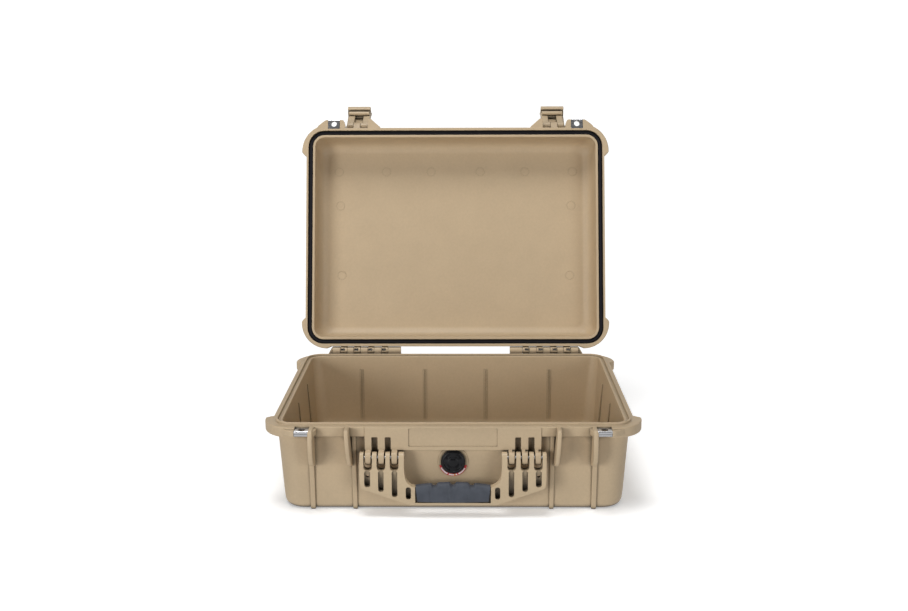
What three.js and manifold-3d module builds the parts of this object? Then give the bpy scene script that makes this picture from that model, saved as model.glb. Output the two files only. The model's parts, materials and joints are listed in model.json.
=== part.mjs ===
// Hard equipment case with its lid open: moulded base and lid, two snap latches, a folding
// carry handle, a pressure valve, a lid gasket and stainless padlock plates.
// Millimetres. X runs to the right, Y to the back and Z up. The origin is the middle of the
// bottom face. Every lid piece is drawn with the lid shut, and one group then swings it open.

import * as THREE from 'three';
import { mergeVertices } from 'three/addons/utils/BufferGeometryUtils.js';
import Module from 'manifold-3d';

const wasm = await Module();
wasm.setup();

// ---- Driving dimensions -------------------------------------------------------------------

const OPENING = { x: 229.5, y: 163.7, r: 15 };   // half sizes of the mouth of both shells
const FLANGE = { x: 244, y: 179.3, r: 35 };      // outer edge of both rims
const WALL = 5.6;                                // floor and lid thickness
const BASE_TOP = 120.5;                          // top of the base flange
const RIM_DEPTH = 14;                            // height of the flange band
const TONGUE_TOP = 124;                          // rib that presses into the gasket
const LEDGE_TOP = 121.5;                         // inner edge of the base rim
const PARTING = 121;                             // lower face of the shut lid's flange
const LID_TOP = 175;
const LID_OPEN_ANGLE = 106;                      // degrees from shut to the stop
const FOOT = 1;                                  // the ribs and the centre pad lift the floor by this
const HINGE = { y: 185.6, z: 125.9, knuckle: 6, hole: 2.5, pin: 2.2 };
const FIT = 0.3;                                 // gap between touching pieces
const CORNER_STEPS = 5;                          // facets of each rounded corner

// Rings on the two rims, as distances outside the mouth.
const LIP_OUT = 3.7;
const TONGUE_IN = 6;
const TONGUE_OUT = 9.4;
const GROOVE_IN = 4.1;
const GROOVE_OUT = 11;
const GROOVE_DEPTH = 7.7;

// Front features, as distances from the middle plane.
const RIBS = [{ x: 132.2, width: 6.2 }, { x: 189.2, width: 7 }];
const SIDE_RIBS = [-62, 62];
const LATCH = {
  x: 163.65, width: 38.4, y: -187.5, z: 151, barrel: 7, lug: 11.4, hole: 2.5, pin: 2.2, open: 140,
  barrelEnd: 179.8,
};
const PADLOCK = { x: 199.3, y: -186, hole: 4.7, width: 19, tab: 7.6 };
const BASE_TAB_TOP = 118.6;                      // the base tabs stop a little below the rim
const HANDLE = { y: -185, z: 80, knuckle: 7.6, hole: 2.4, pin: 2.1 };
const BASE_FINGERS = [[73.4, 81.6], [90.8, 99], [108.4, 116.4]];
const FINGER_PLAY = 1.7;                         // gap beside each of those fingers
const VALVE = { z: 69.7, seat: 20.5, seatY: -171.5, bore: 12.4 };

// Rear features, as ranges of X on each side.
const BASE_KNUCKLES = [[88.5, 108.9], [120.4, 131.7], [142.5, 153.6], [165.4, 175.3], [187.4, 199.6]];
const LID_KNUCKLES = [[109.3, 120], [132.1, 142.1], [154, 165], [175.7, 187]];

// ---- Solids from three.js geometry --------------------------------------------------------

function toSolid(geometry) {
  const plain = geometry.clone();
  plain.deleteAttribute('normal');
  plain.deleteAttribute('uv');
  const merged = mergeVertices(plain, 1e-4);
  const vertProperties = new Float32Array(merged.attributes.position.array);
  const triVerts = new Uint32Array(merged.index.array);
  return new wasm.Manifold(new wasm.Mesh({ numProp: 3, vertProperties, triVerts }));
}

function toGeometry(solid) {
  const mesh = solid.getMesh();
  const geometry = new THREE.BufferGeometry();
  geometry.setAttribute('position', new THREE.BufferAttribute(mesh.vertProperties, 3));
  geometry.setIndex(new THREE.BufferAttribute(mesh.triVerts, 1));
  geometry.computeVertexNormals();
  return geometry;
}

const join = (solids) => solids.reduce((total, next) => total.add(next));

function shapeOf(points) {
  return new THREE.Shape(points.map(([a, b]) => new THREE.Vector2(a, b)));
}

function extrude(shape, depth, basis, origin) {
  const geometry = new THREE.ExtrudeGeometry(shape, {
    depth, bevelEnabled: false, curveSegments: CORNER_STEPS,
  });
  geometry.applyMatrix4(basis);
  geometry.translate(...origin);
  return toSolid(geometry);
}

const AXIS_X = new THREE.Vector3(1, 0, 0);
const AXIS_Y = new THREE.Vector3(0, 1, 0);
const AXIS_Z = new THREE.Vector3(0, 0, 1);
const UPRIGHT = new THREE.Matrix4();
const ALONG_X = new THREE.Matrix4().makeBasis(AXIS_Y, AXIS_Z, AXIS_X);
const ALONG_Y = new THREE.Matrix4().makeBasis(AXIS_X, AXIS_Z, AXIS_Y.clone().negate());

// A plan outline (x, y) between two heights.
const slab = (shape, z0, z1) => extrude(shape, z1 - z0, UPRIGHT, [0, 0, z0]);
// A side outline (y, z) between two values of x, given in either order.
const bar = (shape, xa, xb) => extrude(shape, Math.abs(xb - xa), ALONG_X, [Math.min(xa, xb), 0, 0]);
// A front outline (x, z) between two values of y.
const panel = (shape, y0, y1) => extrude(shape, y1 - y0, ALONG_Y, [0, y1, 0]);

function block(xa, xb, y0, y1, z0, z1) {
  const x0 = Math.min(xa, xb);
  const x1 = Math.max(xa, xb);
  return slab(shapeOf([[x0, y0], [x1, y0], [x1, y1], [x0, y1]]), z0, z1);
}

// A circle as a polygon, finer where it is large.
function disc(cx, cy, radius) {
  const sides = radius > 8 ? 28 : 14;
  return shapeOf(Array.from({ length: sides }, (_, i) => {
    const angle = (i / sides) * Math.PI * 2;
    return [cx + radius * Math.cos(angle), cy + radius * Math.sin(angle)];
  }));
}

function roundedRect(hx, hy, r, cx = 0, cy = 0) {
  const shape = new THREE.Shape();
  shape.absarc(cx + hx - r, cy + hy - r, r, 0, Math.PI / 2, false);
  shape.absarc(cx - hx + r, cy + hy - r, r, Math.PI / 2, Math.PI, false);
  shape.absarc(cx - hx + r, cy - hy + r, r, Math.PI, Math.PI * 1.5, false);
  shape.absarc(cx + hx - r, cy - hy + r, r, Math.PI * 1.5, Math.PI * 2, false);
  shape.closePath();
  return shape;
}

const offsetMouth = (d) => roundedRect(OPENING.x + d, OPENING.y + d, OPENING.r + d);

function ringSlab(inner, outer, z0, z1) {
  return slab(offsetMouth(outer), z0, z1).subtract(slab(offsetMouth(inner), z0 - 1, z1 + 1));
}

function ringPoints({ x, y, r, z }) {
  const centres = [[x - r, y - r], [r - x, y - r], [r - x, r - y], [x - r, r - y]];
  const points = [];
  centres.forEach(([cx, cy], quarter) => {
    for (let step = 0; step <= CORNER_STEPS; step += 1) {
      const angle = (quarter + step / CORNER_STEPS) * Math.PI / 2;
      points.push([cx + r * Math.cos(angle), cy + r * Math.sin(angle), z]);
    }
  });
  return points;
}

// A closed block whose plan is a rounded rectangle that changes from level to level.
function tub(levels) {
  const rings = levels.map(ringPoints);
  const count = rings[0].length;
  const positions = rings.flat(2);
  const bottomCentre = rings.length * count;
  positions.push(0, 0, levels[0].z, 0, 0, levels.at(-1).z);
  const index = [];
  for (let i = 0; i < count; i += 1) {
    const next = (i + 1) % count;
    index.push(bottomCentre, next, i);
    const top = (rings.length - 1) * count;
    index.push(bottomCentre + 1, top + i, top + next);
    for (let level = 0; level < rings.length - 1; level += 1) {
      const low = level * count;
      const high = low + count;
      index.push(low + i, low + next, high + next, low + i, high + next, high + i);
    }
  }
  const geometry = new THREE.BufferGeometry();
  geometry.setAttribute('position', new THREE.Float32BufferAttribute(positions, 3));
  geometry.setIndex(index);
  return toSolid(geometry);
}

// Levels of a moulded tub from its rounded floor edge to its mouth. `floor` and `mouth` give
// the half sizes at the two ends of the drafted wall, `fillet` gives the reach of the floor
// edge's curve along each axis, and `up` is 1 for a base, -1 for a lid.
function tubLevels({ floorZ, mouthZ, floor, mouth, fillet, up, mouthZPast }) {
  const levels = [];
  const steps = 4;
  for (let step = 0; step <= steps; step += 1) {
    const angle = (step / steps) * Math.PI / 2;
    const inset = 1 - Math.sin(angle);
    levels.push({
      x: floor.x - fillet.x * inset,
      y: floor.y - fillet.y * inset,
      r: Math.max(floor.r - fillet.x * inset, 2),
      z: floorZ + up * fillet.z * (1 - Math.cos(angle)),
    });
  }
  levels.push({ ...mouth, z: mouthZ });
  if (mouthZPast !== undefined) {
    levels.push({ ...mouth, z: mouthZPast });
  }
  return up > 0 ? levels : levels.reverse();
}

function rodX(y, z, radius, xa, xb) {
  return bar(disc(y, z, radius), xa, xb);
}

function rodY(x, z, radius, y0, y1) {
  return panel(disc(x, z, radius), y0, y1);
}

// ---- Features shared by the two rims ------------------------------------------------------

// How far each corner pad reaches from the middle of its arc.
const PAD_REACH = {
  baseFront: { x: 45, y: 43.5 }, baseBack: { x: 43.4, y: 41.6 },
  lidFront: { x: 42.2, y: 43.5 }, lidBack: { x: 41, y: 41.6 },
};

// Reinforced corner pads: an arc that stands proud of the flange on both sides of a corner.
function cornerPad(side, end, reach, z0, z1) {
  const shape = new THREE.Shape();
  shape.moveTo(198, 160 * end);
  shape.lineTo(201, FLANGE.y * end);
  for (let step = 0; step <= 8; step += 1) {
    const angle = (1 - step / 8) * Math.PI / 2;
    shape.lineTo(209 + reach.x * Math.cos(angle), end * (141 + reach.y * Math.sin(angle)));
  }
  shape.lineTo(209 + reach.x, 138 * end);
  shape.lineTo(FLANGE.x - 0.2, 131.5 * end);
  shape.lineTo(232, 131.5 * end);
  const points = shape.getPoints().map((p) => [p.x * side, p.y]);
  return slab(shapeOf(points), z0, z1);
}

// Tab with a padlock hole, beside each latch.
function padlockTab(side, z0, z1) {
  const points = [[180.5, -170], [180.5, -184], [182.5, -190.5], [184.5, -192.6], [211.5, -192.6],
    [214, -191.6], [227, -181.5], [227, -170]];
  return slab(shapeOf(points.map(([x, y]) => [x * side, y])), z0, z1);
}

function padlockHole(side, z0, z1) {
  return slab(disc(PADLOCK.x * side, PADLOCK.y, PADLOCK.hole), z0, z1);
}

// Seat cut into a tab so that the steel plate lies flush with its faces.
function padlockSeat(side, z0, z1) {
  const half = PADLOCK.width / 2 + FIT;
  const ends = [side * (PADLOCK.x - half), side * (PADLOCK.x + half)];
  const skin = 1.5;
  const core = block(...ends, -191.3, -177, z0 + skin, z1 - skin);
  return block(...ends, -195, -177.8, z0 - 3, z1 + 3).subtract(core);
}

// Stainless plate folded round the front edge of a tab.
function padlockPlate(side, z0, z1) {
  const half = PADLOCK.width / 2;
  const x0 = side * (PADLOCK.x - half);
  const x1 = side * (PADLOCK.x + half);
  return block(x0, x1, -192.8, -178.1, z0 + 0.1, z1 - 0.1)
    .subtract(block(x0 - side, x1 + side, -191.6, -170, z0 + 1.2, z1 - 1.2))
    .subtract(padlockHole(side, z0 - 2, z1 + 2));
}

// Rib that runs down the front wall, along the flat and up the back wall. `bend` is the reach
// of its rounded corners and `wall` the distance of their upper ends from the middle.
function wrapRib(rib, side, rimZ, flatZ, up, bend, wall) {
  const shape = new THREE.Shape();
  shape.moveTo(-176, rimZ);
  shape.lineTo(-wall, flatZ + up * bend);
  shape.quadraticCurveTo(-wall + 1, flatZ, -wall + bend, flatZ);
  shape.lineTo(wall - bend, flatZ);
  shape.quadraticCurveTo(wall - 1, flatZ, wall, flatZ + up * bend);
  shape.lineTo(176, rimZ);
  return bar(shape, side * (rib.x - rib.width / 2), side * (rib.x + rib.width / 2));
}

// Rib on a side wall, from the rim to the rounded edge.
function sideRib(y, side, rimZ, flatZ, up) {
  const half = 3.2;
  const points = [[222, rimZ], [240, rimZ], [233.4, flatZ + up * 20], [224, flatZ + up * 6],
    [216, flatZ + up * 6]];
  return panel(shapeOf(points.map(([x, z]) => [x * side, z])), y - half, y + half);
}

// ---- Base ---------------------------------------------------------------------------------

const BASE_OUTER = tubLevels({
  floorZ: FOOT, mouthZ: 112, fillet: { x: 17, y: 6, z: 14 }, up: 1,
  floor: { x: 230.6, y: 167.4, r: 27 }, mouth: { x: 237.2, y: 171.4, r: 30 },
});
const BASE_INNER = tubLevels({
  floorZ: FOOT + WALL, mouthZ: 119, mouthZPast: 130, fillet: { x: 12, y: 12, z: 12 }, up: 1,
  floor: { x: 222.8, y: 158.6, r: 20 }, mouth: OPENING,
});

function latchGuard(side) {
  const profile = shapeOf([[-165, 120.5], [-193, 120.5], [-197.5, 117], [-200.5, 98], [-199, 82],
    [-191, 70], [-176, 64], [-165, 62]]);
  const outer = bar(profile, side * 184, side * 190.6);
  const leaning = [[137.2, 120.5], [143.2, 120.5], [139.4, 62], [133.4, 62]].map(([x, z]) => [x * side, z]);
  const inner = bar(profile, side * 130, side * 146).intersect(panel(shapeOf(leaning), -205, -160));
  return outer.add(inner);
}

// Outline of the fingers that carry the handle pin.
const BASE_FINGER = shapeOf([[-166, 92], [-181, 92], [-181, 88.4], [-187.5, 87], [-190.6, 84],
  [-190.6, 74.5], [-188, 70.6], [-182, 69], [-166, 67]]);

function handleMount(side) {
  return join(BASE_FINGERS.map(([x0, x1]) => bar(BASE_FINGER, side * x0, side * x1)));
}

function handleSlots(side) {
  const gaps = [[82.4, 90], [99.8, 107.8]];
  return join(gaps.map(([x0, x1]) => block(side * x0, side * x1, -195, -173.5, 60, 106.3)));
}

function baseHinge(side) {
  const web = shapeOf([[84, 172], [88.5, 191.6], [199.6, 191.6], [212, 172]].map(([x, y]) => [x * side, y]));
  const neck = shapeOf([[170, 108], [191.6, 108], [191.6, HINGE.z], [179.6, HINGE.z], [179.6, BASE_TOP],
    [170, BASE_TOP]]);
  const knuckles = BASE_KNUCKLES.map(([x0, x1]) => join([
    bar(neck, side * x0, side * x1),
    rodX(HINGE.y, HINGE.z, HINGE.knuckle, side * x0, side * x1),
  ]));
  return slab(web, 104, 116).add(join(knuckles));
}

function innerRibs() {
  const ribs = [];
  for (const x of [-151, -49, 49, 151]) {
    for (const end of [-1, 1]) {
      const profile = [[157, 18], [166, 18], [167, 101], [161.6, 101]].map(([y, z]) => [y * end, z]);
      ribs.push(bar(shapeOf(profile), x - 1.8, x + 1.8));
    }
  }
  for (const y of [-84, 84]) {
    for (const side of [-1, 1]) {
      const profile = [[221, 18], [230, 18], [232, 101], [227.4, 101]].map(([x, z]) => [x * side, z]);
      ribs.push(panel(shapeOf(profile), y - 1.8, y + 1.8));
    }
  }
  return join(ribs);
}

function baseShell() {
  const padBottom = BASE_TOP - RIM_DEPTH;
  const tabBottom = BASE_TAB_TOP - PADLOCK.tab;
  let shell = join([
    tub(BASE_OUTER),
    slab(roundedRect(FLANGE.x, FLANGE.y, FLANGE.r), padBottom, BASE_TOP),
    slab(offsetMouth(TONGUE_OUT), padBottom, TONGUE_TOP),
    block(-117, 117, -181, -160, 88.4, BASE_TOP),
    slab(roundedRect(56, 40, 8), 0, FOOT + 2),
    rodY(0, VALVE.z, VALVE.seat, VALVE.seatY, -160),
  ]);
  for (const side of [1, -1]) {
    shell = shell.add(cornerPad(side, 1, PAD_REACH.baseBack, padBottom, BASE_TOP));
    shell = shell.add(cornerPad(side, -1, PAD_REACH.baseFront, padBottom, BASE_TOP));
    shell = shell.add(padlockTab(side, tabBottom, BASE_TAB_TOP));
    shell = shell.add(latchGuard(side));
    shell = shell.add(handleMount(side));
    shell = shell.add(baseHinge(side));
    RIBS.forEach((rib) => {
      shell = shell.add(wrapRib(rib, side, padBottom + 1, 0, 1, 8, 170.4));
    });
    SIDE_RIBS.forEach((y) => {
      shell = shell.add(sideRib(y, side, padBottom + 1, FOOT, 1));
    });
  }
  shell = shell.subtract(tub(BASE_INNER)).add(innerRibs());
  shell = shell.subtract(ringSlab(LIP_OUT, TONGUE_IN, 119.3, 130));
  shell = shell.subtract(slab(offsetMouth(LIP_OUT), LEDGE_TOP, 130));
  for (const side of [1, -1]) {
    shell = shell.subtract(padlockSeat(side, tabBottom, BASE_TAB_TOP));
    shell = shell.subtract(padlockHole(side, 100, 125));
    shell = shell.subtract(handleSlots(side));
    shell = shell.subtract(rodX(HANDLE.y, HANDLE.z, HANDLE.hole, side * 70, side * 125));
    shell = shell.subtract(rodX(HINGE.y, HINGE.z, HINGE.hole, side * 88, side * 209));
    const panelEnd = [side * 58.6, side * 59.8];
    shell = shell.subtract(block(...panelEnd, -182, -180.2, 94, 119));
  }
  shell = shell.subtract(block(-59, 59, -182, -180.6, 93.4, 94.2));
  return shell.subtract(rodY(0, VALVE.z, VALVE.bore, -180, -150));
}

// ---- Lid, drawn shut ----------------------------------------------------------------------

const LID_PLATE = LID_TOP - 3;
const LID_OUTER = tubLevels({
  floorZ: LID_PLATE, mouthZ: 130, fillet: { x: 13, y: 13, z: 13 }, up: -1,
  floor: { x: 232.6, y: 168.2, r: 28 }, mouth: { x: 234.8, y: 170.4, r: 30 },
});
const LID_INNER = tubLevels({
  floorZ: LID_PLATE - WALL + 1, mouthZ: 123, mouthZPast: 110, fillet: { x: 11, y: 11, z: 11 }, up: -1,
  floor: { x: 227.4, y: 161.6, r: 18 }, mouth: OPENING,
});

// One lug between the two arms of each latch, and a gusset that shelters its inner side.
function latchLugs(side) {
  const lug = new THREE.Shape();
  lug.moveTo(-166, 136);
  lug.lineTo(-180, 138);
  lug.lineTo(LATCH.y - LATCH.barrel * 0.94, LATCH.z - 3);
  lug.absarc(LATCH.y, LATCH.z, LATCH.barrel, Math.PI * 1.1, Math.PI * 0.5, true);
  lug.lineTo(-166, 163);
  const gusset = [[121, -170], [123, -180.5], [139, -194.6], [143.8, -194.6], [143.8, -170]];
  const half = LATCH.lug / 2;
  return join([
    bar(lug, side * (LATCH.x - half), side * (LATCH.x + half)),
    slab(shapeOf(gusset.map(([x, y]) => [x * side, y])), PARTING + 0.3, 147),
  ]);
}

function lidHinge(side) {
  const neck = shapeOf([[170, PARTING + 0.6], [179.2, PARTING + 0.6], [179.6, HINGE.z], [191.6, HINGE.z],
    [188, 131.9], [170, 131.9]]);
  return join(LID_KNUCKLES.map(([x0, x1]) => join([
    bar(neck, side * x0, side * x1),
    rodX(HINGE.y, HINGE.z, HINGE.knuckle, side * x0, side * x1),
  ])));
}

function lidShell() {
  const rimTop = PARTING + 11.5;
  const tabTop = PARTING + PADLOCK.tab;
  let shell = join([
    tub(LID_OUTER),
    slab(roundedRect(FLANGE.x, FLANGE.y, FLANGE.r), PARTING, rimTop),
    slab(roundedRect(78, 52, 10), LID_PLATE - 2, LID_PLATE + 1.6),
  ]);
  for (const side of [1, -1]) {
    shell = shell.add(cornerPad(side, 1, PAD_REACH.lidBack, PARTING, rimTop));
    shell = shell.add(cornerPad(side, -1, PAD_REACH.lidFront, PARTING, rimTop));
    shell = shell.add(padlockTab(side, PARTING, tabTop));
    shell = shell.add(latchLugs(side));
    shell = shell.add(lidHinge(side));
    RIBS.forEach((rib) => {
      shell = shell.add(wrapRib(rib, side, rimTop - 1, LID_TOP, -1, 16, 168.6));
    });
    SIDE_RIBS.forEach((y) => {
      shell = shell.add(sideRib(y, side, rimTop - 1, LID_PLATE, -1));
    });
  }
  shell = shell.subtract(tub(LID_INNER));
  shell = shell.subtract(ringSlab(GROOVE_IN, GROOVE_OUT, 110, PARTING + GROOVE_DEPTH));
  shell = shell.subtract(slab(offsetMouth(GROOVE_IN), 110, PARTING + 1));
  for (const side of [1, -1]) {
    shell = shell.subtract(padlockSeat(side, PARTING, tabTop));
    shell = shell.subtract(padlockHole(side, 115, 140));
    shell = shell.subtract(rodX(LATCH.y, LATCH.z, LATCH.hole, side * 150, side * 180));
    shell = shell.subtract(rodX(HINGE.y, HINGE.z, HINGE.hole, side * 88, side * 209));
  }
  return shell;
}

function lidGasket() {
  return ringSlab(GROOVE_IN + FIT, GROOVE_OUT - FIT, TONGUE_TOP + 0.4, PARTING + GROOVE_DEPTH - FIT);
}

// ---- Latch, drawn shut --------------------------------------------------------------------

function latch(side) {
  const inner = side * (LATCH.x - LATCH.width / 2);
  const outer = side * (LATCH.x + LATCH.width / 2);
  const cover = new THREE.Shape();
  cover.moveTo(-190.5, LATCH.z + 6.3);
  cover.lineTo(-195, 150);
  cover.lineTo(-197.2, 130);
  cover.lineTo(-197.6, 95);
  cover.lineTo(-201.6, 86);
  cover.lineTo(-203.4, 78.5);
  cover.lineTo(-200.6, 77.6);
  cover.lineTo(-195, 86);
  cover.lineTo(-192.6, 95);
  cover.lineTo(-192.2, 144);
  cover.lineTo(-188, LATCH.z - 4);
  // The hook goes under the base rim, and its raised lip ends in a groove.
  const hook = shapeOf([[-193, 91], [-184, 94.6], [-179.6, 95.6], [-178.4, 97], [-178.4, 102.4],
    [-179.4, 104], [-181.2, 104.2], [-181.8, 101.8], [-184, 101.8], [-184.6, 104.4], [-193, 104.8]]);
  const leg = shapeOf([[-193, 104], [-187, 104], [-186, 112], [-185, 147], [-193, 147]]);
  const legWidth = 11;
  const legEnd = side * LATCH.barrelEnd;
  const gap = LATCH.lug / 2 + FIT;
  return join([
    bar(cover, inner, outer),
    bar(hook, inner, outer),
    rodX(-183.2, 113, 3, inner + side * 2, legEnd),
    rodX(LATCH.y, LATCH.z, LATCH.barrel - 0.2, inner, legEnd),
    bar(leg, inner, inner + side * legWidth),
    bar(leg, side * (LATCH.x + gap), legEnd),
  ])
    .subtract(rodX(LATCH.y, LATCH.z, LATCH.hole, inner - side, outer + side))
    .subtract(block(side * (LATCH.x - gap), side * (LATCH.x + gap), -200, -175, 142.6, 162));
}

// ---- Handle -------------------------------------------------------------------------------

// Half of the front outline of the handle, mirrored for the other half.
function handleOutline() {
  const half = [[0, 17.3], [56, 17.3], [66, 21.2], [122, 41.4], [123.6, 60], [123.6, 92],
    [64.6, 92], [64.6, 62], [62, 50], [55, 44], [49.6, 42.6], [0, 42.6]];
  const mirrored = half.map(([x, z]) => [-x, z]).reverse();
  return shapeOf([...half, ...mirrored.slice(1, -1)]);
}

// An upright slot with round ends.
function slotShape(x0, x1, z0, z1) {
  const r = (x1 - x0) / 2;
  const x = (x0 + x1) / 2;
  const steps = 6;
  const points = [];
  for (let step = 0; step <= steps; step += 1) {
    const angle = (step / steps) * Math.PI;
    points.push([x + r * Math.cos(angle), z1 - r + r * Math.sin(angle)]);
  }
  for (let step = 0; step <= steps; step += 1) {
    const angle = (1 + step / steps) * Math.PI;
    points.push([x + r * Math.cos(angle), z0 + r + r * Math.sin(angle)]);
  }
  return shapeOf(points);
}

function handleFrame() {
  const profile = new THREE.Shape();
  profile.moveTo(-192.6, HANDLE.z - 4);
  profile.lineTo(-198.6, 46);
  profile.lineTo(-198.6, 17.3);
  profile.lineTo(-189.4, 17.3);
  profile.lineTo(-188.4, 46);
  profile.lineTo(-181.8, 66);
  profile.lineTo(HANDLE.y + HANDLE.knuckle, HANDLE.z);
  profile.absarc(HANDLE.y, HANDLE.z, HANDLE.knuckle, 0, Math.PI, false);
  let frame = panel(handleOutline(), -205, -170).intersect(bar(profile, -124, 124));
  // The bar under the grip is thinner than the arms.
  frame = frame.subtract(block(-50, 50, -200, -195, 21.3, 60));
  frame = frame.subtract(block(-50, 50, -190.6, -180, 21.3, 60));
  for (const side of [1, -1]) {
    BASE_FINGERS.forEach(([x0, x1]) => {
      const left = (side > 0 ? x0 : -x1) - FINGER_PLAY;
      const right = (side > 0 ? x1 : -x0) + FINGER_PLAY;
      frame = frame.subtract(panel(slotShape(left, right, 64.6, 110), -205, -170));
    });
    const slots = [[55.4, 62.4, 26.2, 43], [73.4, 80.8, 29.4, 62], [91.4, 98.8, 36.8, 62],
      [109.2, 117, 43, 62]];
    slots.forEach(([x0, x1, z0, z1]) => {
      const left = side > 0 ? x0 : -x1;
      frame = frame.subtract(panel(slotShape(left, left + x1 - x0, z0, z1), -205, -190.5));
    });
    frame = frame.subtract(rodX(HANDLE.y, HANDLE.z, HANDLE.hole, side * 60, side * 126));
  }
  return frame;
}

function handleGrip() {
  const outline = new THREE.Shape();
  outline.moveTo(-46.8, 23);
  outline.quadraticCurveTo(0, 20.6, 46.8, 23);
  outline.lineTo(49.4, 44.2);
  outline.quadraticCurveTo(0, 52.4, -49.4, 44.2);
  const body = panel(outline, -201.4, -184.8);
  const profile = new THREE.Shape();
  profile.moveTo(-199.6, 19);
  profile.lineTo(-201.2, 28);
  profile.lineTo(-201.2, 39);
  profile.quadraticCurveTo(-200.6, 49, -193, 49.2);
  profile.quadraticCurveTo(-185.4, 49, -185, 39);
  profile.lineTo(-185, 26);
  profile.lineTo(-187, 19);
  let grip = body.intersect(bar(profile, -60, 60));
  for (const x of [-24.4, 0, 24.8]) {
    grip = grip.subtract(rodY(x, 49.6, 3.6, -206, -180));
  }
  return grip.subtract(block(-60, 60, -195 - FIT, -190.6 + FIT, 10, 42.6 + FIT));
}

// ---- Pressure valve, turned about an axis along Y -----------------------------------------

// A turned solid from (distance behind the seat, radius) points that close on the axis or on
// themselves.
function turned(points, steps = 28) {
  const profile = points.map(([back, radius]) => new THREE.Vector2(radius, back));
  const geometry = new THREE.LatheGeometry(profile, steps);
  geometry.translate(0, VALVE.seatY, 0);
  geometry.translate(0, 0, VALVE.z);
  return toSolid(geometry);
}

const valveBody = () => turned([[-2.2, 6], [-2.2, 14.4], [-0.3, 14.4], [-0.3, 12.1], [22, 12.1],
  [22, 10.2], [20, 10.2], [20, 6], [-2.2, 6]]);
const valveRing = () => turned([[-1.6, 14.7], [-1.6, 16.2], [-0.3, 16.2], [-0.3, 14.7], [-1.6, 14.7]]);
const valveMembrane = () => turned([[20.3, 0], [20.3, 9.9], [21.4, 9.9], [21.4, 0]]);

function valveKnob() {
  const cap = turned([[-6.4, 0], [-6.4, 13.2], [-5.6, 15.6], [-4.4, 16.4], [-2.5, 16.4], [-2.5, 5.7],
    [18.6, 5.7], [18.6, 0]]);
  let knob = cap.subtract(block(-3.4, 3.4, -180, -176.7, VALVE.z + 4.2, VALVE.z + 6));
  for (const angle of [210, 330, 90]) {
    const turn = THREE.MathUtils.degToRad(angle);
    knob = knob.subtract(rodY(10.6 * Math.cos(turn), VALVE.z + 10.6 * Math.sin(turn), 2.2, -180, -177));
  }
  return knob;
}

function valveNut() {
  const sides = shapeOf(Array.from({ length: 6 }, (_, i) => [
    17 * Math.cos(i * Math.PI / 3), VALVE.z + 17 * Math.sin(i * Math.PI / 3),
  ]));
  return panel(sides, -159.6, -153.6).subtract(rodY(0, VALVE.z, 12.5, -165, -150));
}

// Coloured arc on the valve seat, open above the valve.
function valveLabel() {
  const start = THREE.MathUtils.degToRad(-16);
  const end = THREE.MathUtils.degToRad(-164);
  const arc = new THREE.Shape();
  arc.absarc(0, VALVE.z, 19.6, start, end, true);
  arc.absarc(0, VALVE.z, 16.8, end, start, false);
  return panel(arc, VALVE.seatY - 0.8, VALVE.seatY - 0.3);
}

// ---- Materials ----------------------------------------------------------------------------

function material(color, roughness, metalness = 0) {
  return new THREE.MeshStandardMaterial({ color, roughness, metalness });
}

const TAN = material(0xb9a27c, 0.62);
const TAN_HANDLE = material(0xbba680, 0.6);
const GASKET = material(0x1c1b1e, 0.8);
const RUBBER = material(0x4d525b, 0.7);
const STEEL = material(0xc9c9cc, 0.3, 1);
const BLACK = material(0x17181a, 0.4);
const LABEL = material(0xd22a2e, 0.45);

// ---- Assembly -----------------------------------------------------------------------------

function mesh(name, solid, look) {
  const result = new THREE.Mesh(toGeometry(solid), look);
  result.name = name;
  return result;
}

// A group that turns its pieces about an X axis through (y, z) by an angle in degrees.
function turnedAbout(y, z, degrees, pieces) {
  const outer = new THREE.Group();
  outer.position.set(0, y, z);
  outer.rotation.x = THREE.MathUtils.degToRad(degrees);
  const inner = new THREE.Group();
  inner.position.set(0, -y, -z);
  inner.add(...pieces);
  outer.add(inner);
  return outer;
}

const SIDES = [['left', -1], ['right', 1]];
const hardCase = new THREE.Group();
hardCase.name = 'hard_case';
const lid = [mesh('lid_shell', lidShell(), TAN), mesh('lid_gasket', lidGasket(), GASKET)];

hardCase.add(mesh('base_shell', baseShell(), TAN));
for (const [name, side] of SIDES) {
  const tabBottom = BASE_TAB_TOP - PADLOCK.tab;
  const tabTop = PARTING + PADLOCK.tab;
  const hingePin = rodX(HINGE.y, HINGE.z, HINGE.pin, side * 89, side * 199.2);
  const handlePin = rodX(HANDLE.y, HANDLE.z, HANDLE.pin, side * 65, side * 123.2);
  hardCase.add(mesh(`base_padlock_plate_${name}`, padlockPlate(side, tabBottom, BASE_TAB_TOP), STEEL));
  hardCase.add(mesh(`hinge_pin_${name}`, hingePin, STEEL));
  hardCase.add(mesh(`handle_pin_${name}`, handlePin, STEEL));
  lid.push(mesh(`lid_padlock_plate_${name}`, padlockPlate(side, PARTING, tabTop), STEEL));
  const latchPin = rodX(LATCH.y, LATCH.z, LATCH.pin, side * 144.9, side * (LATCH.barrelEnd - 0.4));
  lid.push(mesh(`latch_pin_${name}`, latchPin, STEEL));
  const shutLatch = mesh(`latch_${name}`, latch(side), TAN_HANDLE);
  lid.push(turnedAbout(LATCH.y, LATCH.z, -LATCH.open, [shutLatch]));
}
hardCase.add(mesh('handle_frame', handleFrame(), TAN_HANDLE));
hardCase.add(mesh('handle_grip', handleGrip(), RUBBER));
hardCase.add(mesh('valve_body', valveBody(), BLACK));
hardCase.add(mesh('valve_o_ring', valveRing(), GASKET));
hardCase.add(mesh('valve_membrane', valveMembrane(), GASKET));
hardCase.add(mesh('valve_nut', valveNut(), BLACK));
hardCase.add(mesh('valve_knob', valveKnob(), BLACK));
hardCase.add(mesh('valve_label', valveLabel(), LABEL));
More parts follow.
